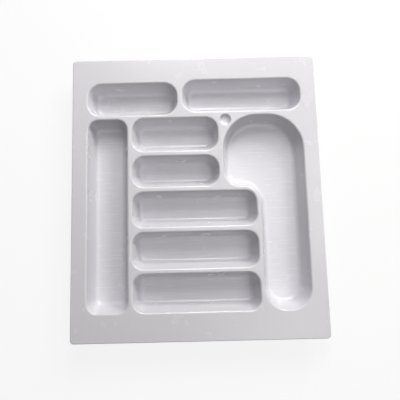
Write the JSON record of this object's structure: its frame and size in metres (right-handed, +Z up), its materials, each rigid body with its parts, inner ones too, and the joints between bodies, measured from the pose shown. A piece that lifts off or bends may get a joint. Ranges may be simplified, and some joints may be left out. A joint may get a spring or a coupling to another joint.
{
  "type": "cutlery tray",
  "caption": "Shallow vacuum-formed drawer insert with oblong compartments for cutlery and an L-shaped one for utensils, in a flat deck with a rolled edge.",
  "frame": {"origin": "middle of the tray's footprint, on the surface that the compartments' undersides stand on", "axes": "+X to the right and +Y to the back of the drawer, as the picture shows the tray; +Z up out of the drawer"},
  "size_m": [0.435, 0.49, 0.042],
  "materials": {
    "sheet": "gloss"
  },
  "bodies": {
    "root": {"deck": "sheet", "long_tub": "sheet", "cutlery_front_tub": "sheet", "cutlery_middle_tub": "sheet", "cutlery_back_tub": "sheet", "small_front_tub": "sheet", "small_back_tub": "sheet", "back_left_tub": "sheet", "back_right_tub": "sheet", "utensil_tub": "sheet", "dimple_cup": "sheet"}
  },
  "joints": []
}
